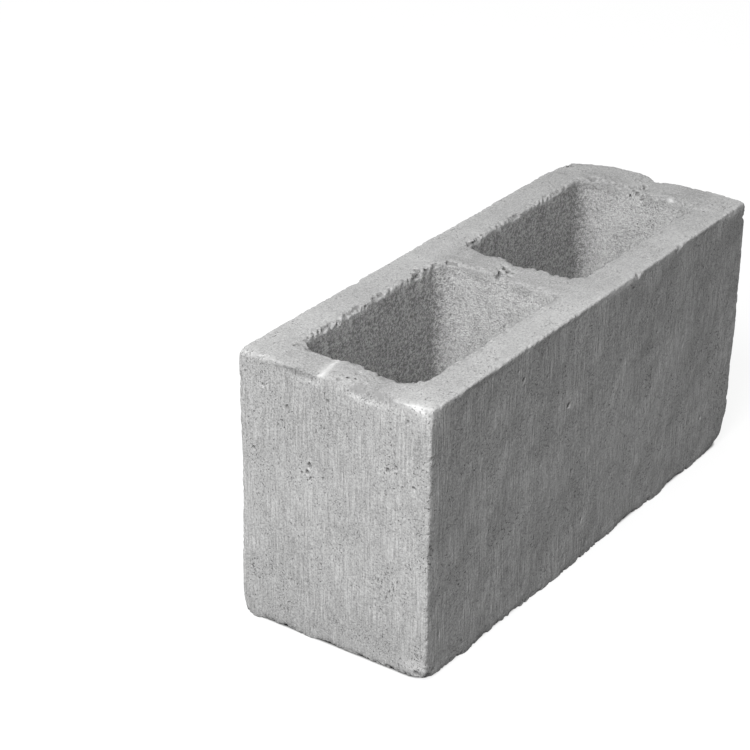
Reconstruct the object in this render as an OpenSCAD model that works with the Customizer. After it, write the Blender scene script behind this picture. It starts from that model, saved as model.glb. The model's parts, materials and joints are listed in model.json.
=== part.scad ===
// Hollow concrete wall block with two open cells, moulded in one piece.
//
// Frame: X runs along the block, Y across it and Z up. The origin is at the
// middle of the bottom bed face. The block stands as it left its mould: the
// cells are widest at the top, and the bar that held their cores has left a
// step in the tops of the middle web and the web at the +X end.

/* [Block] */
// Length of the block
block_l = 390; // [300:1:500]
// Width of the block, from one long face to the other
block_w = 140; // [120:1:200]
// Height of the block, from bed to bed
block_h = 188; // [120:1:250]

/* [Walls at the top] */
// Thickness of each long wall
shell_t = 25; // [20:0.5:35]
// Thickness of the web at each end
end_web_t = 26; // [20:0.5:35]
// Thickness of the web between the cells
middle_web_t = 24; // [20:0.5:40]

/* [Cells] */
// Radius of a cell's upright corners at the top
cell_corner_r = 14; // [9:0.5:18]
// How far each cell wall leans in, per 100 mm of height
cell_lean = 3; // [1:0.5:3.5]
// Width of the worn lip round the mouth of a cell
cell_lip = 1; // [0.5:0.5:3]

/* [Arrises] */
// Radius of the four upright outer edges
corner_r = 1.5; // [1:0.5:6]
// Radius of the outer edges round the two bed faces
bed_r = 1; // [0.5:0.5:4]

/* [Core bar mark] */
// Height of the step that the core bar leaves in two of the web tops
step_h = 3; // [1:0.5:6]
// How far the step stands from the block's long centre line
step_y = 2; // [-10:0.5:10]

/* [Hidden] */
$fn = 64;
// Extra length that takes a cut clear of the face it goes through.
past = 1;
half_l = block_l / 2;
half_w = block_w / 2;
cell_w = block_w - 2 * shell_t;
cell_l = (block_l - 2 * end_web_t - middle_web_t) / 2;
cell_x = (middle_web_t + cell_l) / 2;
slope = cell_lean / 100;
// Radius of a cell's corners at the bottom, where the lean has used some up.
cell_foot_r = cell_corner_r - slope * block_h;

// A flat rectangle with round corners, centred on the origin.
module rounded_rectangle(l, w, r) {
    square([l - 2 * r, w], center = true);
    square([l, w - 2 * r], center = true);
    for (x = [-1, 1], y = [-1, 1])
        translate([x * (l / 2 - r), y * (w / 2 - r)]) circle(r);
}

// The block before its cells are taken out, as the meeting of its three
// outlines, so that all twelve edges are round.
module outer_form() {
    intersection() {
        linear_extrude(block_h) rounded_rectangle(block_l, block_w, corner_r);
        translate([0, half_w, block_h / 2]) rotate([90, 0, 0])
            linear_extrude(block_w) rounded_rectangle(block_l, block_h, bed_r);
        translate([-half_l, 0, block_h / 2]) rotate([90, 0, 90])
            linear_extrude(block_l) rounded_rectangle(block_w, block_h, bed_r);
    }
}

// A bar with sloping sides: l long, and 2 * low wide at its foot and
// 2 * high wide at its top.
module sloping_bar(l, h, low, high) {
    translate([l / 2, 0, 0]) rotate([90, 0, -90]) linear_extrude(l)
        polygon([[-low, 0], [low, 0], [high, h], [-high, h]]);
}

// A plug of a cell's plan that spreads evenly on its way up. Its corners stay
// centred on the same four uprights, while their radius grows.
module spreading_plug(h, low_r, high_r) {
    core_l = cell_l - 2 * cell_corner_r;
    core_w = cell_w - 2 * cell_corner_r;
    sloping_bar(core_l, h, core_w / 2 + low_r, core_w / 2 + high_r);
    rotate(90) sloping_bar(core_w, h, core_l / 2 + low_r, core_l / 2 + high_r);
    for (x = [-1, 1], y = [-1, 1])
        translate([x * core_l / 2, y * core_w / 2, 0])
            cylinder(h, r1 = low_r, r2 = high_r);
}

// The space of one cell: the drafted hole, past both beds, and the worn lip
// round its mouth.
module cell() {
    translate([0, 0, -past])
        spreading_plug(block_h + 2 * past, cell_foot_r - slope * past, cell_corner_r + slope * past);
    translate([0, 0, block_h - cell_lip])
        spreading_plug(cell_lip + past, cell_corner_r, cell_corner_r + cell_lip + past);
}

// What the core bar took from the tops of the middle web and the +X web: a
// wedge that starts at the inner face of the -Y wall and is deepest at the
// step. It sets out over the -X cell, so the -X web stays whole.
module core_bar_cut() {
    start_y = -cell_w / 2;
    top = block_h + past;
    translate([-cell_x, 0, 0]) rotate([90, 0, 90]) linear_extrude(cell_x + half_l + past)
        polygon([[start_y, block_h], [step_y, block_h - step_h], [step_y, top], [start_y, top]]);
}

module block() {
    color("darkgray") difference() {
        outer_form();
        for (side = [-1, 1]) translate([side * cell_x, 0, 0]) cell();
        core_bar_cut();
    }
}

block();
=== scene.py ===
"""A worn hollow concrete block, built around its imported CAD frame.

The block is one casting, so it is one piece. Its surface starts as the distance to the CAD
solid on a fine grid. Wear, chips, air holes and rough concrete are worked into that distance,
and the grid is then turned back into a mesh. The material adds what is finer than the mesh:
sand grains, the marks of the mould and the clouding of the cement.
"""

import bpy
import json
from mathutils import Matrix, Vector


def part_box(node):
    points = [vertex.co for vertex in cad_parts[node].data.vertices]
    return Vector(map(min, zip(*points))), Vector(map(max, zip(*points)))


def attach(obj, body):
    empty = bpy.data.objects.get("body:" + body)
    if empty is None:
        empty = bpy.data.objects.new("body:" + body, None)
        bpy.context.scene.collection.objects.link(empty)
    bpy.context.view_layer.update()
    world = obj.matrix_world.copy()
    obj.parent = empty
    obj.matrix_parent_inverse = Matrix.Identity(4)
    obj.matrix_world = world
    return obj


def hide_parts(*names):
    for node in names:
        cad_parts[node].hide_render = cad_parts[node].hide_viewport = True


bl_info = {
    "name": "Hollow Concrete Block",
    "version": (1, 0, 0),
    "blender": (4, 5, 0),
    "location": "3D View > Sidebar > Concrete Block",
    "description": "Builds a worn hollow concrete block and a plain studio around it",
    "category": "Object",
}

import json
import math

import bmesh
import bpy
import numpy as np
import openvdb
from mathutils import Matrix, Vector

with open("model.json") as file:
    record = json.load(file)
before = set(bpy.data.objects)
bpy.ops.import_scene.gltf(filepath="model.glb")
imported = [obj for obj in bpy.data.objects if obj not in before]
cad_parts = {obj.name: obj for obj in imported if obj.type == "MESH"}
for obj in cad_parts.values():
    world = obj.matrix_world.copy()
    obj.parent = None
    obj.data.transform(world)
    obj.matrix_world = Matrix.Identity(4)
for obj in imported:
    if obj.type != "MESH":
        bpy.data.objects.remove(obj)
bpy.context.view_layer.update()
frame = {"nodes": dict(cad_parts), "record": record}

NODE = "block"
LOW, HIGH = (np.array(corner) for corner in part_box(NODE))
MIDDLE = (LOW + HIGH) / 2
HALF = (HIGH - LOW) / 2
OPENINGS = [np.array(opening["box_m"]) for opening in frame["record"]["physics"]["openings"]]
MM = 0.001

# The cells lean in towards the bottom, so their mouths are wider than the openings, which run
# straight through. Beyond CELL_REACH from an opening, the surface is the outside of the block.
MOUTH_GROWTH = 8.5 * MM
CELL_REACH = 14.5 * MM

# How far the inner face of a long wall stands from the centre line, at the top.
WALL_FACE = OPENINGS[0][1][1] + MOUTH_GROWTH

# How far the grid goes past the block, how far the first distances reach, and how far the worn
# ones have to be right.
GRID_MARGIN = 7 * MM
DISTANCE_REACH = 15 * MM
SURFACE_REACH = 6 * MM

# How far apart the bumps of each random field are.
BROAD_BUMPS = 26 * MM
WAVE_BUMPS = 8 * MM
CRUMB_BUMPS = 2.6 * MM
GRAIN_BUMPS = 1.3 * MM


# ---------------------------------------------------------------------------------------
# Fields on the grid


def smooth_step(values, start, end):
    """0 before start and 1 after end, with a smooth change between them."""
    t = np.clip((values - start) / (end - start), 0, 1)
    return t * t * (3 - 2 * t)


def along(axis, values):
    """One axis's values, shaped to spread over the whole grid."""
    return values.reshape([-1 if i == axis else 1 for i in range(3)])


class Grid:
    """Evenly spaced points round the block, with the fields that are worked out on them."""

    def __init__(self, low, high, step, margin):
        self.step = step
        self.first = np.floor((low - margin) / step).astype(int)
        last = np.ceil((high + margin) / step).astype(int)
        self.axes = [
            np.arange(self.first[i], last[i] + 1, dtype=np.float32) * np.float32(step)
            for i in range(3)
        ]
        self.shape = tuple(len(a) for a in self.axes)
        self.x, self.y, self.z = (along(i, a) for i, a in enumerate(self.axes))

    def distance_to(self, node, reach):
        """Signed distance to a CAD node, negative inside it and cut off at reach."""
        mesh = frame["nodes"][node].data
        points = np.empty(len(mesh.vertices) * 3, np.float32)
        mesh.vertices.foreach_get("co", points)
        mesh.calc_loop_triangles()
        corners = np.empty(len(mesh.loop_triangles) * 3, np.int32)
        mesh.loop_triangles.foreach_get("vertices", corners)
        level_set = openvdb.FloatGrid.createLevelSetFromPolygons(
            points.reshape(-1, 3),
            triangles=corners.reshape(-1, 3).astype(np.uint32),
            transform=openvdb.createLinearTransform(voxelSize=self.step),
            halfWidth=reach / self.step,
        )
        values = np.empty(self.shape, np.float32)
        level_set.copyToArray(values, ijk=tuple(int(i) for i in self.first))
        return values

    def noise(self, rng, spacing):
        """Smooth random field with a deviation of 1, and with bumps that far apart."""
        x, y, z = (spline_weights(axis, spacing) for axis in self.axes)
        lattice = rng.standard_normal((x.shape[1], y.shape[1], z.shape[1]), dtype=np.float32)
        field = np.tensordot(x, lattice, axes=(1, 0))
        field = np.matmul(y, np.tensordot(field, z, axes=(2, 1)))
        field /= field.std()
        return field

    def blurred(self, field, sigma, axes=(0, 1, 2)):
        """field smoothed by a bell curve of width sigma, along some or all of the axes."""
        tail = 2.6 * sigma
        count = math.ceil(tail / self.step)
        weights = np.exp(-0.5 * (np.arange(-count, count + 1) * self.step / sigma) ** 2)
        weights = (weights / weights.sum()).astype(np.float32)
        for axis in axes:
            ends = [(count, count) if i == axis else (0, 0) for i in range(3)]
            padded = np.pad(field, ends, mode="edge")
            field = np.zeros(self.shape, np.float32)
            for offset, weight in enumerate(weights):
                part = [slice(None)] * 3
                part[axis] = slice(offset, offset + self.shape[axis])
                field += weight * padded[tuple(part)]
        return field

    def window(self, centre, reach):
        """The slices of the grid within reach of a point."""
        slices = []
        for i, axis in enumerate(self.axes):
            lo, hi = np.searchsorted(axis, [centre[i] - reach[i], centre[i] + reach[i]])
            slices.append(slice(int(lo), int(hi)))
        return tuple(slices)

    def sample(self, field, points):
        """field at any points, blended from the eight grid points round each."""
        place = points / self.step - self.first
        cell = np.clip(np.floor(place).astype(int), 0, np.array(self.shape) - 2)
        t = place - cell
        total = np.zeros(len(points))
        for corner in np.ndindex(2, 2, 2):
            weight = np.prod(np.where(corner, t, 1 - t), axis=1)
            total += weight * field[tuple((cell + corner).T)]
        return total


def spline_weights(axis, spacing):
    """Cubic B-spline weights that spread a coarse row of values over one axis."""
    place = (axis - axis[0]) / spacing
    cell = np.floor(place).astype(int)
    t = place - cell
    weights = np.zeros((len(axis), cell[-1] + 4), np.float32)
    rows = np.arange(len(axis))
    parts = (
        (1 - t) ** 3,
        3 * t**3 - 6 * t**2 + 4,
        -3 * t**3 + 3 * t**2 + 3 * t + 1,
        t**3,
    )
    for offset, part in enumerate(parts):
        weights[rows, cell + offset] = part / 6
    return weights


def cell_mask(x, y):
    """1 in the cells and just past their mouths, and 0 at the outside of the block."""
    mask = 0
    blur = 2 * MM
    for low, high in OPENINGS:
        middle = (low + high) / 2
        reach = (high - low) / 2 + CELL_REACH
        beyond_x = smooth_step(np.abs(x - middle[0]), reach[0] - blur, reach[0] + blur)
        beyond_y = smooth_step(np.abs(y - middle[1]), reach[1] - blur, reach[1] + blur)
        mask = mask + (1 - beyond_x) * (1 - beyond_y)
    return mask


# ---------------------------------------------------------------------------------------
# Wear

# Distance from the middle of an end web to the block's end, and where the marks on top of a web
# start and stop fading, as distances from its middle.
END_WEB_MIDDLE = 13 * MM
MARK_FADE = (17 * MM, 21 * MM)

# The tops of the three webs, which the core bar left uneven: the middle of the web along X, how
# far its marks drift along Y for each step along X, and rows of (Y, height above the CAD block)
# in mm.
WEB_TOPS = (
    (
        LOW[0] + END_WEB_MIDDLE, 0.16,
        ((-46, 0), (-36, -1.0), (-24, -1.7), (-13, -1.1), (-8, 0.2), (6, 0.3), (10, 0.1),
         (13.5, -1.2), (28, -1.1), (36, -0.2), (46, 0)),
    ),
    (
        0, 0,
        ((-46, 0), (-33, 0.4), (-23, 0.8), (-17, 1.2), (-11, 1.3), (-4, 0.5), (0, 0.2),
         (4, -0.2), (9, 0.5), (16, 1.2), (24, 0.4), (28, 0.1), (36, 0.7), (46, 0.2)),
    ),
    (
        HIGH[0] - END_WEB_MIDDLE, 0,
        ((-66, 0), (-48, 0.7), (-36, 0.9), (-20, 1.3), (-12, 1.2), (-4, 0.9), (0, 0.2),
         (4, -0.3), (8, 0.2), (12, 0.8), (28, 1.0), (36, 1.5), (44, 0.8), (52, 0), (60, -0.8)),
    ),
)

# Where the block is rounded by handling. On each axis, the side of the block that the spot is on
# and how far in from there it lies. Then how far it reaches, and how much heavy wear it gets.
ROUNDED_SPOTS = (
    ((-1, -1, 1), (0, 0, 0), (12 * MM, 9 * MM, 12 * MM), 0.3),
    ((-1, 1, -1), (0, 0, 0), (9 * MM, 9 * MM, 9 * MM), 0.5),
    ((-1, -1, -1), (0, 0, 0), (14 * MM, 14 * MM, 12 * MM), 0.6),
    ((1, -1, -1), (0, 0, 0), (24 * MM, 24 * MM, 20 * MM), 1.3),
    ((1, 1, 1), (0, 0, 0), (14 * MM, 18 * MM, 12 * MM), 0.6),
    ((1, -1, 1), (0, 0, 0), (6 * MM, 6 * MM, 6 * MM), 0.2),
    ((1, 1, -1), (0, 0, 0), (18 * MM, 14 * MM, 16 * MM), 0.9),
    ((-1, 0, 1), (0, 17 * MM, 0), (10 * MM, 24 * MM, 12 * MM), 0.8),
    ((-1, 0, 1), (0, -46 * MM, 0), (7 * MM, 20 * MM, 9 * MM), 0.25),
    ((1, 0, 1), (0, -44 * MM, 0), (8 * MM, 16 * MM, 10 * MM), 0.4),
    ((1, -1, 1), (27 * MM, 28 * MM, 0), (16 * MM, 15 * MM, 10 * MM), 0.8),
    ((1, -1, 1), (208 * MM, 28 * MM, 0), (16 * MM, 15 * MM, 10 * MM), 0.8),
)

# Where pieces have broken away: the side and the inset as above, the way out of the block, and
# how deep the chip goes and how round it is.
BROKEN_SPOTS = (
    ((-1, -1, 1), (0, 3 * MM, 0), (-1, -0.35, 0.9), 3.5 * MM, 26 * MM),
    ((-1, -1, -1), (2 * MM, 0, 2 * MM), (-0.5, -1, -1), 4 * MM, 12 * MM),
    ((-1, -1, -1), (0, 9 * MM, 0), (-1, 0, -1), 2.5 * MM, 8 * MM),
    ((-1, -1, -1), (14 * MM, 0, 0), (0, -1, -1), 2.5 * MM, 10 * MM),
    ((1, -1, -1), (0, 0, 0), (1, -0.6, -1), 5 * MM, 20 * MM),
    ((1, -1, 1), (0, 0, 12 * MM), (1, -0.8, 0), 2.5 * MM, 7 * MM),
    ((1, 1, 1), (4 * MM, 2 * MM, 0), (0.5, 1, 1), 2 * MM, 12 * MM),
    ((1, -1, 1), (95 * MM, 0, 0), (0, -1, 1), 1.6 * MM, 5 * MM),
    ((1, -1, 1), (100 * MM, 0, 1 * MM), (0, -1, 0.5), 1.4 * MM, 4 * MM),
    ((1, -1, 1), (150 * MM, 0, 0), (0, -1, 0.6), 2.2 * MM, 5 * MM),
    ((-1, 1, 1), (120 * MM, 0, 0), (0, 1, 1), 2 * MM, 7 * MM),
    ((1, 1, -1), (0, 3 * MM, 40 * MM), (1, 1, 0), 2.5 * MM, 9 * MM),
)

# Deep pits that stand out on the faces: the side and the inset as above, the radius, and how many
# times as tall as wide the pit is.
SINGLE_PITS = (
    ((-1, 0, 1), (0.8 * MM, -17.5 * MM, 64 * MM), 1.6 * MM, 1.6),
    ((-1, 0, 1), (0.8 * MM, -19 * MM, 69 * MM), 1.4 * MM, 1.2),
    ((-1, 0, 1), (0.6 * MM, -17 * MM, 73 * MM), 1.1 * MM, 1.2),
    ((-1, 0, 1), (0.5 * MM, -60 * MM, 65 * MM), 1.1 * MM, 1.2),
    ((-1, 0, 1), (0.5 * MM, -52.5 * MM, 19.5 * MM), 1.2 * MM, 1.2),
    ((-1, 0, 1), (0.5 * MM, -34 * MM, 29 * MM), 1.2 * MM, 1.4),
    ((-1, 0, 1), (0.5 * MM, -4 * MM, 16 * MM), 1.1 * MM, 1.2),
    ((-1, 0, 1), (0.5 * MM, 40 * MM, 48 * MM), 1.3 * MM, 1.2),
    ((1, -1, 1), (232 * MM, 0.8 * MM, 62 * MM), 1.8 * MM, 1.1),
    ((1, -1, 1), (289 * MM, 0.6 * MM, 21 * MM), 1.3 * MM, 1.4),
)

# Spots that have crumbled into small pits: the side and the inset as above, how far the pits spread
# from there on each axis, and how many there are.
CRUMBLED_SPOTS = (
    ((0, 0, 1), (8 * MM, -2.5 * MM, 1.5 * MM), (2.5 * MM, 1.2 * MM, 0.8 * MM), 9),
    ((0, 0, 1), (5 * MM, 1.5 * MM, 2.5 * MM), (3 * MM, 2 * MM, 1 * MM), 5),
    ((0, 0, 1), (0, -3.5 * MM, 1.5 * MM), (1.2 * MM, 1.8 * MM, 0.8 * MM), 8),
    ((0, 1, 1), (40 * MM, 24 * MM, 1.5 * MM), (13 * MM, 1.5 * MM, 1 * MM), 20),
    ((0, 1, 1), (138 * MM, 25 * MM, 1.5 * MM), (12 * MM, 1.2 * MM, 1 * MM), 10),
    ((1, 0, 1), (27 * MM, 2 * MM, 3.5 * MM), (1.2 * MM, 4 * MM, 1.5 * MM), 16),
    ((1, 0, 1), (18 * MM, -1 * MM, 2 * MM), (5 * MM, 2.5 * MM, 1 * MM), 6),
    ((1, 1, 1), (15 * MM, 5 * MM, 2.5 * MM), (6 * MM, 3 * MM, 1 * MM), 14),
    ((-1, 0, 1), (8 * MM, -1 * MM, 0), (5 * MM, 6 * MM, 1 * MM), 9),
    ((-1, -1, -1), (2 * MM, 2 * MM, 6 * MM), (4 * MM, 5 * MM, 4 * MM), 12),
)

# Pale spots, part smeared cement and part painted highlight on lit crests and corners: the side and
# the inset as above, and how far each reaches on each axis.
PALE_SMEARS_AND_HIGHLIGHTS = (
    ((-1, 0, 1), (3 * MM, -10.4 * MM, 0), (6 * MM, 2.6 * MM, 5 * MM)),
    ((-1, 0, 1), (10 * MM, -11.5 * MM, 0), (6 * MM, 2.6 * MM, 5 * MM)),
    ((-1, 0, 1), (17 * MM, -12.6 * MM, 0), (6 * MM, 2.6 * MM, 5 * MM)),
    ((-1, 0, 1), (25 * MM, -14 * MM, 0), (3 * MM, 4 * MM, 5 * MM)),
    ((-1, -1, 1), (0, 9 * MM, 0), (5 * MM, 8 * MM, 4 * MM)),
    ((1, 0, 1), (27 * MM, 25 * MM, 2 * MM), (3 * MM, 1.8 * MM, 2.2 * MM)),
    ((-1, -1, -1), (0, 8 * MM, 11 * MM), (8 * MM, 9 * MM, 4 * MM)),
)


def corner_point(side, inset):
    """A point on the block. side is -1, 0 or 1 on each axis, and inset is how far in it lies."""
    return [MIDDLE[i] + side[i] * HALF[i] - (side[i] or 1) * inset[i] for i in range(3)]


def rounded_amount(grid):
    """How much of the heavy wear each point gets from the rounded spots."""
    amount = np.zeros(grid.shape, np.float32)
    for side, inset, reach, strength in ROUNDED_SPOTS:
        centre = corner_point(side, inset)
        parts = [np.exp(-(((grid.axes[i] - centre[i]) / reach[i]) ** 2)) for i in range(3)]
        spot = along(0, parts[0]) * along(1, parts[1]) * along(2, parts[2])
        amount = np.maximum(amount, strength * spot)
    return amount


def cut_chip(grid, shape, point, outward, depth, radius, roughness):
    """Takes a shallow round bite out of an edge at point, which is rough inside."""
    outward = np.array(outward, float) / np.linalg.norm(outward)
    centre = np.array(point, float) + outward * (radius - depth)
    window = grid.window(centre, [radius + 2 * MM] * 3)
    parts = [(grid.axes[i][window[i]] - centre[i]) ** 2 for i in range(3)]
    away = np.sqrt(along(0, parts[0]) + along(1, parts[1]) + along(2, parts[2]))
    shape[window] = np.maximum(shape[window], radius - away + roughness[window])


def edge_points(rng, count):
    """Random points on the outer edges, each with its way out of the block."""
    found = []
    for _ in range(count):
        along_axis = rng.integers(3)
        side = rng.choice([-1, 1], 3)
        side[along_axis] = 0
        point = MIDDLE + HALF * side
        point[along_axis] += rng.uniform(-1, 1) * HALF[along_axis]
        found.append((point, side))
    return found


def mouth_points(rng, count):
    """Random points on the edges of the cell mouths, each with its way out of the block."""
    found = []
    for _ in range(count):
        low, high = OPENINGS[rng.integers(len(OPENINGS))]
        middle = (low + high) / 2
        half = (high - low) / 2 + MOUTH_GROWTH
        along_axis = rng.integers(2)
        across = 1 - along_axis
        side = rng.choice([-1, 1])
        point = np.array([middle[0], middle[1], HIGH[2]])
        point[along_axis] += rng.uniform(-0.9, 0.9) * half[along_axis]
        point[across] += side * half[across]
        outward = np.zeros(3)
        outward[across] = -side
        outward[2] = 1
        found.append((point, outward))
    return found


def pit(grid, shape, point, radius, stretch):
    """Sinks an air hole into the surface at point, drawn out by stretch along Z."""
    reach = 1.5 * radius
    window = grid.window(point, [reach, reach, reach * stretch])
    parts = [(grid.axes[i][window[i]] - point[i]) ** 2 for i in range(3)]
    away = np.sqrt(along(0, parts[0]) + along(1, parts[1]) + along(2, parts[2]) / stretch**2)
    shape[window] = np.maximum(shape[window], radius - away)


def web_rise(grid):
    """How high the tops of the webs stand above the CAD block, at each point seen from above."""
    rise = 0
    for middle, drift, rows in WEB_TOPS:
        across, height = np.array(rows).T * MM
        place = grid.y - drift * (grid.x - middle)
        near = 1 - smooth_step(np.abs(grid.x - middle), *MARK_FADE)
        rise = rise + near * np.interp(place, across, height)
    return rise


def worn_step(grid, level, width):
    """level with the core bar's step rounded off, which runs along X near the centre line."""
    middle = smooth_step(np.abs(grid.y), 20 * MM, 14 * MM)
    high = smooth_step(grid.z, HIGH[2] - 12 * MM, HIGH[2] - 7 * MM)
    return level + middle * high * (grid.blurred(level, width, axes=(1,)) - level)


def add_chips(grid, shape, wear, rng, roughness):
    """Takes the broken spots and the random chips out of the edges."""
    for side, inset, outward, depth, radius in BROKEN_SPOTS:
        cut_chip(grid, shape, corner_point(side, inset), outward, depth, radius, roughness)
    for point, outward in edge_points(rng, wear.chip_count):
        depth = rng.uniform(0.4, 1.0) ** 2 * MM
        radius = depth * rng.uniform(2, 4)
        cut_chip(grid, shape, point, outward, depth, radius, roughness * 0.5)
    for point, outward in mouth_points(rng, wear.chip_count):
        depth = rng.uniform(0.5, 1.2) ** 2 * MM
        radius = depth * rng.uniform(1.8, 3)
        cut_chip(grid, shape, point, outward, depth, radius, roughness * 0.6)


def add_pits(grid, shape, wear, rng):
    """Sinks the single pits, the crumbled spots and the random air holes."""
    for side, inset, radius, stretch in SINGLE_PITS:
        pit(grid, shape, corner_point(side, inset), radius, stretch)
    for side, inset, reach, count in CRUMBLED_SPOTS:
        for point in rng.normal(corner_point(side, inset), reach, (count, 3)):
            pit(grid, shape, point, rng.uniform(0.9, 1.7) * MM, 1.2)
    for _ in range(wear.hole_count):
        axis = rng.integers(2)
        point = rng.uniform(LOW, HIGH)
        point[axis] = rng.choice([LOW[axis], HIGH[axis]])
        radius = rng.uniform(0.9, 1.3) * MM
        pit(grid, shape, point, radius, rng.uniform(1, 2))


def worn_distance(grid, wear):
    """Signed distance to the worn block, and to the CAD block that it started from."""
    rng = np.random.default_rng(wear.seed)
    level = worn_step(grid, grid.distance_to(NODE, DISTANCE_REACH), wear.step_wear)
    broad = grid.noise(rng, BROAD_BUMPS)
    wave = grid.noise(rng, WAVE_BUMPS)
    crumb = grid.noise(rng, CRUMB_BUMPS)
    grain = grid.noise(rng, GRAIN_BUMPS)

    cells = cell_mask(grid.x, grid.y)
    top = smooth_step(grid.z, HIGH[2] - 4 * MM, HIGH[2] - 1 * MM)
    bottom = 1 - smooth_step(grid.z, LOW[2] + 2 * MM, LOW[2] + 8 * MM)
    rims = top * cells
    back_rim = rims * np.exp(-(((grid.y - WALL_FACE) / (5 * MM)) ** 2))

    # Round the handled spots, and the edges of the mouths and the bottom a little.
    heavy = grid.blurred(level, wear.heavy_wear)
    rim_rounding = rims * np.clip(0.02 + 0.05 * wave, 0, 1)
    bottom_rounding = bottom * (1 - cells) * np.clip(0.22 + 0.06 * wave, 0, 1)
    rounding = np.maximum(rounded_amount(grid), rim_rounding)
    rounding = np.maximum(rounding, bottom_rounding)
    shape = level + rounding * (heavy - level)

    # Crumble the edges, the mouths most of all, and of those the sides at the back.
    narrow = grid.blurred(level, wear.edge_width)
    edge = np.clip((narrow - level) / (0.45 * wear.edge_width), 0, 1)
    extra = wear.rim_crumbs - wear.edge_crumbs
    crumbling = wear.edge_crumbs + extra * np.maximum(rims, 0.45 * bottom)
    crumbling = crumbling + 0.9 * wear.rim_crumbs * back_rim * np.clip(1 + 0.9 * wave, 0, 3)
    shape += crumbling * edge * np.clip(0.6 * crumb + 0.9 * grain + 0.2, 0, 2.5)

    # Make the faces uneven, and the tops of the webs as the core bar left them.
    outside = wear.face_waves * (broad + 0.35 * wave)
    inside = wear.cell_waves * (0.6 * wave + 0.3 * broad)
    relief = outside + cells * (inside - outside)
    shape += relief + top * (wear.top_waves * wave - relief)
    shape -= smooth_step(grid.z, HIGH[2] - 9 * MM, HIGH[2] - 3 * MM) * web_rise(grid)

    roughness = 0.7 * MM * crumb + 0.5 * MM * grain
    add_chips(grid, shape, wear, rng, roughness)
    add_pits(grid, shape, wear, rng)
    return np.maximum(shape, LOW[2] - grid.z), level


def web_mask(points):
    """1 on the tops of the cross webs and 0 elsewhere."""
    across = np.abs(points[:, 1])
    between = 1 - smooth_step(across, WALL_FACE - 6 * MM, WALL_FACE + 4 * MM)
    return between * smooth_step(points[:, 2], HIGH[2] - 6 * MM, HIGH[2] - 4 * MM)


def smear_and_highlight_mask(points):
    """1 where the surface is painted pale, part smeared cement and part painted highlight, and 0
    elsewhere.
    """
    mask = np.zeros(len(points), np.float32)
    for side, inset, reach in PALE_SMEARS_AND_HIGHLIGHTS:
        centre = corner_point(side, inset)
        away = sum(((points[:, i] - centre[i]) / reach[i]) ** 2 for i in range(3))
        mask = np.maximum(mask, np.exp(-away))
    return mask


# ---------------------------------------------------------------------------------------
# Mesh


def mesh_from_distance(grid, shape):
    """The closed surface where shape is zero."""
    band = 4 * grid.step
    volume = openvdb.FloatGrid(band)
    volume.transform = openvdb.createLinearTransform(voxelSize=grid.step)
    volume.copyFromArray(np.clip(shape, -band, band), ijk=tuple(int(i) for i in grid.first))
    points, triangles, quads = volume.convertToPolygons(isovalue=0.0, adaptivity=0.0)
    mesh = bpy.data.meshes.new("worn_surface")
    corners = np.concatenate([triangles.ravel(), quads.ravel()]).astype(np.int32)
    sizes = np.repeat([3, 4], [len(triangles), len(quads)]).astype(np.int32)
    mesh.vertices.add(len(points))
    mesh.vertices.foreach_set("co", points.astype(np.float32).ravel())
    mesh.loops.add(len(corners))
    mesh.loops.foreach_set("vertex_index", corners)
    mesh.polygons.add(len(sizes))
    starts = np.concatenate([[0], np.cumsum(sizes)[:-1]])
    mesh.polygons.foreach_set("loop_start", starts.astype(np.int32))
    mesh.update(calc_edges=True)
    mesh.validate()
    return mesh


def thinned(mesh, triangles):
    """The same surface with fewer triangles, most of them where it bends."""
    piece = bpy.data.objects.new("thinning", mesh)
    bpy.context.scene.collection.objects.link(piece)
    thin = piece.modifiers.new("thin", "DECIMATE")
    now = sum(len(p.vertices) - 2 for p in mesh.polygons)
    thin.ratio = min(1, triangles / now)
    thin.use_collapse_triangulate = True
    depsgraph = bpy.context.evaluated_depsgraph_get()
    result = bpy.data.meshes.new_from_object(piece.evaluated_get(depsgraph))
    bpy.data.objects.remove(piece)
    bpy.data.meshes.remove(mesh)
    return result


def drop_loose_bits(mesh):
    """Leaves only the largest connected surface, without the bits that the wear cut loose."""
    bm = bmesh.new()
    bm.from_mesh(mesh)
    unseen = set(bm.verts)
    parts = []
    while unseen:
        waiting = [unseen.pop()]
        part = []
        while waiting:
            vertex = waiting.pop()
            part.append(vertex)
            for edge in vertex.link_edges:
                neighbour = edge.other_vert(vertex)
                if neighbour in unseen:
                    unseen.remove(neighbour)
                    waiting.append(neighbour)
        parts.append(part)
    parts.sort(key=len)
    loose = [vertex for part in parts[:-1] for vertex in part]
    bmesh.ops.delete(bm, geom=loose, context="VERTS")
    bm.to_mesh(mesh)
    bm.free()


def field_normals(grid, field, points):
    """The way out of the block at each point, from how the distance changes round it."""
    slopes = []
    for axis in range(3):
        step = np.zeros(3)
        step[axis] = grid.step
        slopes.append(grid.sample(field, points + step) - grid.sample(field, points - step))
    normals = np.array(slopes).T
    return normals / np.linalg.norm(normals, axis=1)[:, None]


def vertex_points(mesh):
    """The places of a mesh's points, one row each."""
    points = np.empty(len(mesh.vertices) * 3, np.float32)
    mesh.vertices.foreach_get("co", points)
    return points.reshape(-1, 3)


def set_value(mesh, name, values):
    """Stores a number or a vector for each point of a mesh, for its material to read."""
    kind, key = ("FLOAT", "value") if values.ndim == 1 else ("FLOAT_VECTOR", "vector")
    attribute = mesh.attributes.new(name, kind, "POINT")
    attribute.data.foreach_set(key, values.astype(np.float32).ravel())


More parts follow.
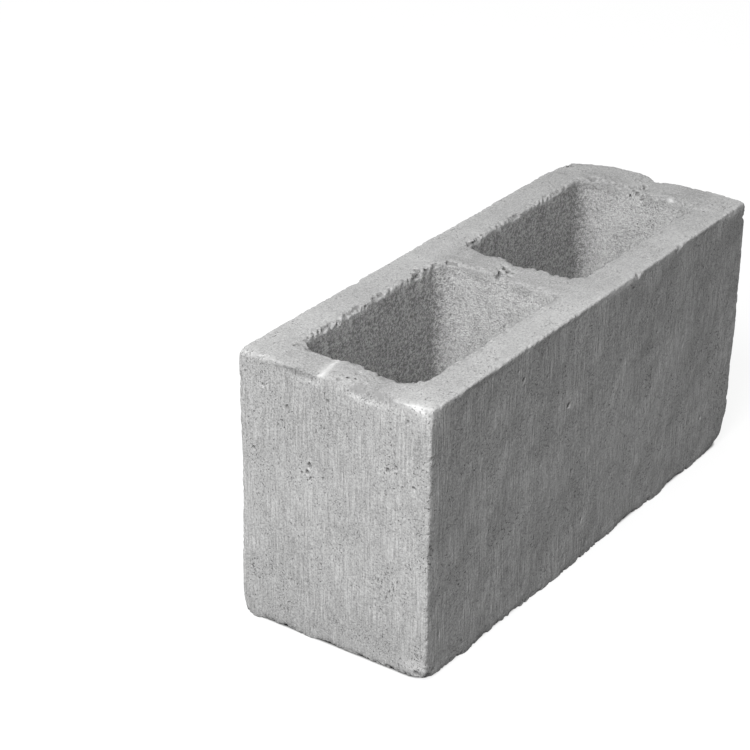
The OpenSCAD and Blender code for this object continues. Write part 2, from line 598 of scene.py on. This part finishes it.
def store_values(mesh, grid, shape, level):
    """Stores what the material reads: the wear, the parts of the block and the way out of it."""
    points = vertex_points(mesh)
    near = np.clip(shape, -SURFACE_REACH, SURFACE_REACH)
    worn_off = -grid.sample(level, points)
    standing_out = grid.sample(grid.blurred(near, 1.2 * MM), points)
    set_value(mesh, "worn", smooth_step(worn_off, 0.8 * MM, 2.5 * MM))
    set_value(mesh, "cell", cell_mask(points[:, 0], points[:, 1]))
    set_value(mesh, "top", smooth_step(points[:, 2], HIGH[2] - 5 * MM, HIGH[2] - 3 * MM))
    set_value(mesh, "web", web_mask(points))
    set_value(mesh, "smear_and_highlight", smear_and_highlight_mask(points))
    # How far each point stands out: the material paints hollows darker as painted shade, and what
    # stands out a little paler as painted light.
    set_value(mesh, "painted_relief_shade", np.clip(standing_out / (0.4 * MM), -1, 0.2))
    set_value(mesh, "outward", field_normals(grid, near, points))


# ---------------------------------------------------------------------------------------
# Material


class Nodes:
    """Short ways to add nodes to a tree and join them. Values are sockets or plain numbers."""

    def __init__(self, tree):
        self.tree = tree

    def feed(self, socket, value):
        """Joins value to the socket, or sets the socket to it if it is plain."""
        if isinstance(value, bpy.types.NodeSocket):
            self.tree.links.new(value, socket)
        else:
            socket.default_value = value

    def add(self, kind, inputs=None, **settings):
        """A new node with its settings and its inputs filled in."""
        node = self.tree.nodes.new(kind)
        for key, value in settings.items():
            setattr(node, key, value)
        for key, value in (inputs or {}).items():
            self.feed(node.inputs[key], value)
        return node

    def attribute(self, name, output="Fac"):
        """What the mesh stores under that name, as a socket."""
        return self.add("ShaderNodeAttribute", attribute_name=name).outputs[output]

    def math(self, operation, *values, clamp=False):
        """One sum, as a socket."""
        inputs = dict(enumerate(values))
        node = self.add("ShaderNodeMath", inputs, operation=operation, use_clamp=clamp)
        return node.outputs[0]

    def total(self, *terms, start=0.0):
        """start plus every term, each of them a (value, weight) pair, as a socket."""
        total = start
        for value, weight in terms:
            total = self.math("MULTIPLY_ADD", value, weight, total)
        return total

    def vector(self, operation, *values, output="Vector"):
        """One sum on vectors, as a socket."""
        inputs = dict(enumerate(values))
        return self.add("ShaderNodeVectorMath", inputs, operation=operation).outputs[output]

    def ramp(self, value, start, end, low=0.0, high=1.0):
        """value mapped smoothly from start..end to low..high, as a socket."""
        node = self.add(
            "ShaderNodeMapRange",
            {"Value": value, "From Min": start, "From Max": end, "To Min": low, "To Max": high},
            interpolation_type="SMOOTHSTEP",
        )
        return node.outputs["Result"]

    def mix(self, factor, first, second):
        """A colour between first and second, as a socket."""
        inputs = {0: factor, 6: first, 7: second}
        node = self.add("ShaderNodeMix", inputs, data_type="RGBA", blend_type="MIX")
        return node.outputs[2]

    def noise(self, vector, scale, detail, roughness):
        """Noise from 0 to 1, as a socket."""
        node = self.add(
            "ShaderNodeTexNoise",
            {"Vector": vector, "Scale": scale, "Detail": detail, "Roughness": roughness},
        )
        return node.outputs["Fac"]


def new_material(name):
    """An empty material, with the nodes to fill it."""
    material = bpy.data.materials.new(name)
    material.use_nodes = True
    material.node_tree.nodes.clear()
    return material, Nodes(material.node_tree)


def new_group(name, inputs, outputs):
    """An empty shader node group. inputs and outputs are (name, socket type, default) rows."""
    tree = bpy.data.node_groups.new(name, "ShaderNodeTree")
    for title, kind, default in inputs:
        socket = tree.interface.new_socket(title, in_out="INPUT", socket_type=kind)
        if default is not None:
            socket.default_value = default
    for title, kind in outputs:
        tree.interface.new_socket(title, in_out="OUTPUT", socket_type=kind)
    nodes = Nodes(tree)
    return nodes, nodes.add("NodeGroupInput").outputs, nodes.add("NodeGroupOutput").inputs


def sand_grain_group():
    """Sand in the face of the concrete: the height of its grains, and its dark and pale ones."""
    nodes, given, made = new_group(
        "Sand Grain",
        [("Vector", "NodeSocketVector", None), ("Size", "NodeSocketFloat", 1.2 * MM)],
        [
            ("Height", "NodeSocketFloat"),
            ("Dark Grains", "NodeSocketFloat"),
            ("Pale Grains", "NodeSocketFloat"),
        ],
    )
    scale = nodes.math("DIVIDE", 1.0, given["Size"])
    nodes.feed(made["Height"], nodes.noise(given["Vector"], scale, 2.0, 0.7))
    elsewhere = nodes.vector("ADD", given["Vector"], (3.1, 1.7, 5.3))
    colors = nodes.noise(elsewhere, scale, 2.0, 0.6)
    nodes.feed(made["Dark Grains"], nodes.ramp(colors, 0.36, 0.26))
    nodes.feed(made["Pale Grains"], nodes.ramp(colors, 0.66, 0.76))
    return nodes.tree


def drag_marks_group():
    """Fine upright marks that the mould leaves as it is drawn off."""
    nodes, given, made = new_group(
        "Drag Marks",
        [
            ("Vector", "NodeSocketVector", None),
            ("Spacing", "NodeSocketFloat", 1.3 * MM),
            ("Length", "NodeSocketFloat", 24 * MM),
        ],
        [("Height", "NodeSocketFloat")],
    )
    across = nodes.math("DIVIDE", 1.0, given["Spacing"])
    upright = nodes.math("DIVIDE", 1.0, given["Length"])
    scale = nodes.add("ShaderNodeCombineXYZ", {"X": across, "Y": across, "Z": upright})
    stretched = nodes.vector("MULTIPLY", given["Vector"], scale.outputs[0])
    nodes.feed(made["Height"], nodes.noise(stretched, 1.0, 2.0, 0.6))
    return nodes.tree


def pitting_group():
    """Fine pits of no set shape, thick in some patches and scarce in others: 1 in a pit, or 0."""
    nodes, given, made = new_group(
        "Pitting",
        [
            ("Vector", "NodeSocketVector", None),
            ("Size", "NodeSocketFloat", 1.4 * MM),
            ("Patch", "NodeSocketFloat", 0.5),
            ("More", "NodeSocketFloat", 0.0),
        ],
        [("Pit", "NodeSocketFloat")],
    )
    scale = nodes.math("DIVIDE", 1.0, given["Size"])
    depth = nodes.noise(given["Vector"], scale, 2.0, 0.6)
    limit = nodes.ramp(given["Patch"], 0.40, 0.64, 0.30, 0.405)
    limit = nodes.math("ADD", limit, given["More"])
    below = nodes.math("SUBTRACT", limit, depth)
    nodes.feed(made["Pit"], nodes.math("MULTIPLY", below, 18.0, clamp=True))
    return nodes.tree


def clouding_group():
    """Slow changes of shade in the cement, at two sizes, drawn out along Z."""
    nodes, given, made = new_group(
        "Clouding",
        [("Vector", "NodeSocketVector", None), ("Size", "NodeSocketFloat", 60 * MM)],
        [("Broad", "NodeSocketFloat"), ("Patchy", "NodeSocketFloat")],
    )
    scale = nodes.math("DIVIDE", 1.0, given["Size"])
    upright = nodes.vector("MULTIPLY", given["Vector"], (1, 1, 0.6))
    nodes.feed(made["Broad"], nodes.noise(upright, scale, 2.0, 0.5))
    patch_scale = nodes.math("MULTIPLY", scale, 4.0)
    nodes.feed(made["Patchy"], nodes.noise(upright, patch_scale, 4.0, 0.65))
    return nodes.tree


def concrete_material(finish):
    """Grey vibropressed concrete. The mesh says where it is worn, inside a cell or on top."""
    material, nodes = new_material("vibropressed_concrete")
    place = nodes.add("ShaderNodeTexCoord").outputs["Object"]
    worn = nodes.attribute("worn")
    cell = nodes.attribute("cell")
    top = nodes.attribute("top")
    web = nodes.attribute("web")
    smear_and_highlight = nodes.attribute("smear_and_highlight")
    painted_relief_shade = nodes.attribute("painted_relief_shade")
    outward = nodes.attribute("outward", "Vector")

    def group(made, **inputs):
        return nodes.add("ShaderNodeGroup", inputs | {"Vector": place}, node_tree=made).outputs

    sand_tree = sand_grain_group()
    sand = group(sand_tree, Size=finish.sand_size)
    grit = group(sand_tree, Size=finish.grit_size)
    marks = group(drag_marks_group(), Spacing=finish.mark_spacing)
    clouds = group(clouding_group())

    # The mould dragged on the upright outside faces, where they aren't worn.
    upright = nodes.math("SUBTRACT", 1.0, top)
    outside = nodes.math("MULTIPLY", nodes.math("SUBTRACT", 1.0, cell), upright)
    drawn = nodes.math("MULTIPLY", outside, nodes.math("SUBTRACT", 1.0, worn))
    rough = nodes.math("SUBTRACT", 1.0, drawn)
    marked = nodes.math("MULTIPLY", drawn, nodes.ramp(clouds["Patchy"], 0.60, 0.40, 0.2, 1.0))

    # The long walls of the cells are coarser than the webs.
    turn = nodes.add("ShaderNodeSeparateXYZ", {0: outward}).outputs
    along_block = nodes.ramp(nodes.math("ABSOLUTE", turn["Y"]), 0.5, 1.0)
    cell_wall = nodes.math("MULTIPLY", cell, upright)
    long_wall = nodes.math("MULTIPLY", cell_wall, along_block)

    # The pits are thickest in patches, and scarce on the top and on the webs in the cells.
    more = nodes.math("MULTIPLY", web, 0.02)
    pits = group(pitting_group(), Size=finish.pit_size, Patch=clouds["Patchy"], More=more)["Pit"]
    pit_share = nodes.total((cell, -0.3), (top, -0.3), (long_wall, 0.3), start=1.0)
    pits = nodes.math("MULTIPLY", pits, pit_share)

    # The outside faces are darker towards the top, and the ends towards the bottom too.
    height = nodes.add("ShaderNodeSeparateXYZ", {0: place}).outputs["Z"]
    reach = 90 * MM
    high = nodes.ramp(height, HIGH[2] - reach, HIGH[2], 0.0, -0.13)
    low = nodes.ramp(height, LOW[2] + reach, LOW[2], 0.0, -0.11)
    ends = nodes.math("SUBTRACT", 1.0, along_block)

    # The shade goes from 0, the darkest cement, to 1, the palest.
    grit_share = nodes.total((cell_wall, 0.5), (long_wall, 1.2), (top, 0.1), start=0.25)
    shade = nodes.total(
        (nodes.ramp(clouds["Broad"], 0.3, 0.7, -0.06, 0.06), 1.0),
        (nodes.ramp(clouds["Patchy"], 0.3, 0.7, 0.055, -0.055), 1.0),
        (nodes.ramp(clouds["Patchy"], 0.35, 0.65, -0.20, -0.06), top),
        (nodes.ramp(marks["Height"], 0.3, 0.7, -0.22, 0.22), marked),
        (
            nodes.ramp(sand["Height"], 0.25, 0.75, -0.32, 0.32),
            nodes.total((top, -0.35), (long_wall, 0.7), start=1.0),
        ),
        (nodes.ramp(grit["Height"], 0.3, 0.7, -0.24, 0.24), grit_share),
        # Painted shade: the faces that turn down, next to the floor, are darker.
        (nodes.ramp(turn["Z"], -0.2, -0.8, 0.0, -0.7), 1.0),
        (nodes.total((low, ends), start=high), outside),
        # Painted shade in the hollows, and a little painted light on what stands out.
        (painted_relief_shade, 0.32),
        # Worn edges darker: partly rough broken concrete, partly painted shade that dims the light
        # on their rounded faces.
        (worn, -0.30),
        (web, -0.10),
        # Painted light and shade in the cells: all their walls a little paler, and their long walls
        # darker.
        (cell_wall, 0.05),
        (long_wall, -0.12),
        start=0.5,
    )
    color = nodes.mix(shade, (*finish.dark_color, 1), (*finish.pale_color, 1))
    for mask, strength, tint in (
        (sand["Pale Grains"], 0.4, finish.pale_grain_and_highlight),
        (grit["Pale Grains"], nodes.total((top, 0.2), start=0.15), finish.pale_grain_and_highlight),
        (sand["Dark Grains"], 0.3, finish.dark_grain_and_pit_shade),
        # Pale smears: part cement, part painted highlight.
        (smear_and_highlight, 0.75, finish.pale_grain_and_highlight),
        # Painted shade in the fine pits.
        (pits, 0.8, finish.dark_grain_and_pit_shade),
    ):
        color = nodes.mix(nodes.math("MULTIPLY", mask, strength), color, (*tint, 1))

    relief = nodes.total(
        (sand["Height"], nodes.total((cell, 0.65 * MM), start=0.25 * MM)),
        (grit["Height"], nodes.math("MULTIPLY", rough, 0.6 * MM)),
        (marks["Height"], nodes.math("MULTIPLY", marked, 0.8 * MM)),
        (pits, -0.6 * MM),
    )
    turned = nodes.add(
        "ShaderNodeVectorTransform",
        {0: outward},
        vector_type="NORMAL",
        convert_from="OBJECT",
        convert_to="WORLD",
    )
    bump = nodes.add(
        "ShaderNodeBump",
        {"Height": relief, "Distance": 1.0, "Strength": 1.0, "Normal": turned.outputs[0]},
    )
    surface = nodes.add(
        "ShaderNodeBsdfPrincipled",
        {
            "Base Color": color,
            "Normal": bump.outputs["Normal"],
            "Roughness": 0.92,
            "Specular IOR Level": 0.25,
        },
    )
    nodes.add("ShaderNodeOutputMaterial", {"Surface": surface.outputs["BSDF"]})
    return material


# ---------------------------------------------------------------------------------------
# Settings


class BlockWear(bpy.types.PropertyGroup):
    """How rough and how worn the block is."""

    grid_step: bpy.props.FloatProperty(
        name="Grid step", description="Distance between the points that shape the surface",
        default=0.8 * MM, min=0.6 * MM, max=4 * MM, unit="LENGTH", precision=5,
    )
    edge_width: bpy.props.FloatProperty(
        name="Edge width", description="Width of the rough band along the edges",
        default=2 * MM, min=0.5 * MM, max=6 * MM, unit="LENGTH", precision=5,
    )
    heavy_wear: bpy.props.FloatProperty(
        name="Heavy wear", description="Width of the rounding on knocked corners",
        default=5.5 * MM, min=2 * MM, max=8 * MM, unit="LENGTH", precision=5,
    )
    step_wear: bpy.props.FloatProperty(
        name="Step wear", description="Width of the rounding on the core bar's step",
        default=3 * MM, min=0.5 * MM, max=8 * MM, unit="LENGTH", precision=5,
    )
    face_waves: bpy.props.FloatProperty(
        name="Face waves", description="Height of the slow waves in the outside faces",
        default=0.34 * MM, min=0, max=2 * MM, unit="LENGTH", precision=5,
    )
    cell_waves: bpy.props.FloatProperty(
        name="Cell waves", description="Height of the slow waves in the cell walls",
        default=0.2 * MM, min=0, max=2 * MM, unit="LENGTH", precision=5,
    )
    top_waves: bpy.props.FloatProperty(
        name="Top waves", description="Height of the slow waves in the top",
        default=0.12 * MM, min=0, max=2 * MM, unit="LENGTH", precision=5,
    )
    edge_crumbs: bpy.props.FloatProperty(
        name="Edge crumbs", description="Depth of the crumbling along the outer edges",
        default=0.25 * MM, min=0, max=3 * MM, unit="LENGTH", precision=5,
    )
    rim_crumbs: bpy.props.FloatProperty(
        name="Rim crumbs", description="Depth of the crumbling round the mouths and the bottom",
        default=0.9 * MM, min=0, max=3 * MM, unit="LENGTH", precision=5,
    )
    chip_count: bpy.props.IntProperty(
        name="Chips", description="Number of small chips on the outer edges, and on the mouths",
        default=60, min=0, max=400,
    )
    hole_count: bpy.props.IntProperty(
        name="Air holes", description="Number of air holes deep enough to model",
        default=26, min=0, max=2000,
    )
    triangles: bpy.props.IntProperty(
        name="Triangles", description="How many triangles the finished surface has",
        default=190000, min=20000, max=198000,
    )
    seed: bpy.props.IntProperty(
        name="Seed", description="Start of the random draws", default=11, min=0,
    )


class ConcreteFinish(bpy.types.PropertyGroup):
    """Colours and grain of the concrete."""

    dark_color: bpy.props.FloatVectorProperty(
        name="Dark cement", description="Darkest shade of the cement", subtype="COLOR",
        default=(0.20, 0.20, 0.199), min=0, max=1,
    )
    pale_color: bpy.props.FloatVectorProperty(
        name="Pale cement", description="Palest shade of the cement", subtype="COLOR",
        default=(0.50, 0.50, 0.498), min=0, max=1,
    )
    # Also the colour of the painted shade in the fine pits.
    dark_grain_and_pit_shade: bpy.props.FloatVectorProperty(
        name="Dark grains", description="Colour of the dark sand grains", subtype="COLOR",
        default=(0.12, 0.12, 0.12), min=0, max=1,
    )
    # Also the colour of the painted highlights in the pale smears.
    pale_grain_and_highlight: bpy.props.FloatVectorProperty(
        name="Pale grains", description="Colour of the pale sand grains", subtype="COLOR",
        default=(0.62, 0.62, 0.617), min=0, max=1,
    )
    sand_size: bpy.props.FloatProperty(
        name="Sand size", description="Width of the sand grains",
        default=1.1 * MM, min=0.2 * MM, max=5 * MM, unit="LENGTH", precision=5,
    )
    grit_size: bpy.props.FloatProperty(
        name="Grit size", description="Width of the coarser grains",
        default=2.31 * MM, min=0.2 * MM, max=10 * MM, unit="LENGTH", precision=5,
    )
    mark_spacing: bpy.props.FloatProperty(
        name="Mark spacing", description="Distance between the mould's drag marks",
        default=1.3 * MM, min=0.5 * MM, max=10 * MM, unit="LENGTH", precision=5,
    )
    pit_size: bpy.props.FloatProperty(
        name="Pit size", description="Width of the fine pits",
        default=1.4 * MM, min=0.2 * MM, max=5 * MM, unit="LENGTH", precision=5,
    )


class StudioSettings(bpy.types.PropertyGroup):
    """The camera, the lights and the floor."""

    camera_place: bpy.props.FloatVectorProperty(
        name="Camera place", description="Where the camera stands", subtype="TRANSLATION",
        default=(-1.1779, -0.7190, 0.8074), precision=4,
    )
    camera_aim: bpy.props.FloatVectorProperty(
        name="Camera aim", description="The way the camera looks", subtype="DIRECTION",
        default=(0.7308, 0.5120, -0.4515), precision=4,
    )
    camera_roll: bpy.props.FloatProperty(
        name="Camera roll", description="How far the camera leans to one side", subtype="ANGLE",
        default=math.radians(0.61),
    )
    lens: bpy.props.FloatProperty(
        name="Lens", description="Focal length of the camera",
        default=111.76, min=10, unit="CAMERA",
    )
    floor_color: bpy.props.FloatVectorProperty(
        name="Floor", description="Colour of the floor", subtype="COLOR",
        default=(0.14, 0.14, 0.14), min=0, max=1,
    )
    key_power: bpy.props.FloatProperty(
        name="Key light", description="Power of the large soft lamp",
        default=77, min=0, unit="POWER",
    )
    key_size: bpy.props.FloatProperty(
        name="Key size", description="Width of the large soft lamp",
        default=1.4, min=0.1, unit="LENGTH",
    )
    key_distance: bpy.props.FloatProperty(
        name="Key distance", description="Distance from the lamp to the middle of the block",
        default=2.2, min=0.5, unit="LENGTH",
    )
    key_aim: bpy.props.FloatVectorProperty(
        name="Key aim", description="The way the lamp shines", subtype="DIRECTION",
        default=(0.70, 0.08, -0.71),
    )
    sky_strength: bpy.props.FloatProperty(
        name="Sky", description="Strength of the even light from above", default=0.66, min=0,
    )


# ---------------------------------------------------------------------------------------
# Operators


class CONCRETE_OT_block(bpy.types.Operator):
    """Build the worn concrete block in the place of its CAD solid"""

    bl_idname = "concrete.block"
    bl_label = "Concrete Block"

    def execute(self, context):
        wear = context.scene.block_wear
        grid = Grid(LOW, HIGH, wear.grid_step, GRID_MARGIN)
        shape, level = worn_distance(grid, wear)
        mesh = thinned(mesh_from_distance(grid, shape), wear.triangles)
        drop_loose_bits(mesh)
        mesh.name = "concrete_block"
        store_values(mesh, grid, shape, level)
        mesh.shade_smooth()
        mesh.materials.clear()
        mesh.materials.append(concrete_material(context.scene.concrete_finish))
        piece = bpy.data.objects.new("concrete_block", mesh)
        context.scene.collection.objects.link(piece)
        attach(piece, "root")
        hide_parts(NODE)
        return {"FINISHED"}


class CONCRETE_OT_studio(bpy.types.Operator):
    """Set up the floor, the lights and the camera"""

    bl_idname = "concrete.studio"
    bl_label = "Plain Studio"

    def execute(self, context):
        studio = context.scene.studio_settings
        add_floor(context.scene, studio)
        add_key_light(context.scene, studio)
        add_sky(context.scene, studio)
        add_camera(context.scene, studio)
        context.scene.view_settings.view_transform = "Standard"
        return {"FINISHED"}


def add_floor(scene, studio):
    """A wide pale floor, evenly bright but for a painted contact shadow where the block stands."""
    reach = 8.0
    sides = ((-1, -1), (1, -1), (1, 1), (-1, 1))
    mesh = bpy.data.meshes.new("floor")
    mesh.from_pydata([(x * reach, y * reach, LOW[2]) for x, y in sides], [], [(0, 1, 2, 3)])

    # The floor's own glow starts at the block's foot, whose corners are rounded; without it, the
    # floor under the block is a painted contact shadow.
    material, nodes = new_material("pale_floor")
    rounding = 16 * MM
    glow_from = rounding - 4.5 * MM
    glow_to = rounding - 1.5 * MM
    away = nodes.vector("ABSOLUTE", nodes.add("ShaderNodeTexCoord").outputs["Object"])
    away = nodes.vector("SUBTRACT", away, (HIGH[0] - rounding, HIGH[1] - rounding, 0))
    away = nodes.vector("MAXIMUM", away, (0, 0, 0))
    away = nodes.vector("LENGTH", away, output="Value")
    strength = nodes.ramp(away, glow_from, glow_to, 0.0, 0.86)
    bounce = nodes.add("ShaderNodeBsdfDiffuse", {"Color": (*studio.floor_color, 1)}).outputs[0]
    glow = nodes.add("ShaderNodeEmission", {"Color": (1, 1, 1, 1), "Strength": strength})
    seen = nodes.add("ShaderNodeAddShader", {0: bounce, 1: glow.outputs[0]})
    from_camera = nodes.add("ShaderNodeLightPath").outputs["Is Camera Ray"]
    choice = nodes.add("ShaderNodeMixShader", {0: from_camera, 1: bounce, 2: seen.outputs[0]})
    nodes.add("ShaderNodeOutputMaterial", {"Surface": choice.outputs[0]})
    mesh.materials.append(material)

    floor = bpy.data.objects.new("floor", mesh)
    scene.collection.objects.link(floor)


def add_key_light(scene, studio):
    """One large soft lamp, to the left and above."""
    aim = Vector(studio.key_aim).normalized()
    lamp = bpy.data.lights.new("key", "AREA")
    lamp.shape = "DISK"
    lamp.size = studio.key_size
    lamp.energy = studio.key_power
    key = bpy.data.objects.new("key", lamp)
    key.location = Vector(MIDDLE) - aim * studio.key_distance
    key.rotation_mode = "QUATERNION"
    key.rotation_quaternion = aim.to_track_quat("-Z", "Y")
    scene.collection.objects.link(key)


def add_sky(scene, studio):
    """An even sky, a little stronger from above, that looks plain white."""
    world = bpy.data.worlds.new("sky")
    world.use_nodes = True
    world.node_tree.nodes.clear()
    nodes = Nodes(world.node_tree)
    way = nodes.add("ShaderNodeTexCoord").outputs["Generated"]
    height = nodes.add("ShaderNodeSeparateXYZ", {0: way}).outputs["Z"]
    glow = nodes.ramp(height, -0.2, 0.9, studio.sky_strength * 0.4, studio.sky_strength)
    from_camera = nodes.add("ShaderNodeLightPath").outputs["Is Camera Ray"]
    strength = nodes.add("ShaderNodeMix", {0: from_camera, 2: glow, 3: 1.0}, data_type="FLOAT")
    sky = nodes.add(
        "ShaderNodeBackground", {"Color": (1, 1, 1, 1), "Strength": strength.outputs[0]}
    )
    nodes.add("ShaderNodeOutputWorld", {"Surface": sky.outputs[0]})
    scene.world = world


def add_camera(scene, studio):
    """A camera at a three-quarter view from above, with nothing out of focus."""
    data = bpy.data.cameras.new("camera")
    data.lens = studio.lens
    data.sensor_width = 36
    data.clip_start = 0.05
    data.clip_end = 50
    camera = bpy.data.objects.new("camera", data)
    aim = Vector(studio.camera_aim)
    turn = aim.to_track_quat("-Z", "Y").to_matrix() @ Matrix.Rotation(studio.camera_roll, 3, "Z")
    camera.matrix_world = Matrix.Translation(studio.camera_place) @ turn.to_4x4()
    scene.collection.objects.link(camera)
    scene.camera = camera


class CONCRETE_PT_panel(bpy.types.Panel):
    """Lists the block's settings and what builds it"""

    bl_idname = "CONCRETE_PT_panel"
    bl_label = "Concrete Block"
    bl_space_type = "VIEW_3D"
    bl_region_type = "UI"
    bl_category = "Concrete Block"

    def draw(self, context):
        layout = self.layout
        layout.operator(CONCRETE_OT_studio.bl_idname)
        layout.operator(CONCRETE_OT_block.bl_idname)
        for name in SETTINGS:
            group = getattr(context.scene, name)
            box = layout.box()
            for key in group.__annotations__:
                box.prop(group, key)


SETTINGS = {
    "block_wear": BlockWear,
    "concrete_finish": ConcreteFinish,
    "studio_settings": StudioSettings,
}
CLASSES = (*SETTINGS.values(), CONCRETE_OT_block, CONCRETE_OT_studio, CONCRETE_PT_panel)


def register():
    for cls in CLASSES:
        bpy.utils.register_class(cls)
    for name, cls in SETTINGS.items():
        setattr(bpy.types.Scene, name, bpy.props.PointerProperty(type=cls))


def unregister():
    for name in SETTINGS:
        delattr(bpy.types.Scene, name)
    for cls in reversed(CLASSES):
        bpy.utils.unregister_class(cls)


def main():
    register()
    bpy.ops.concrete.studio()
    bpy.ops.concrete.block()


if __name__ == "__main__":
    main()
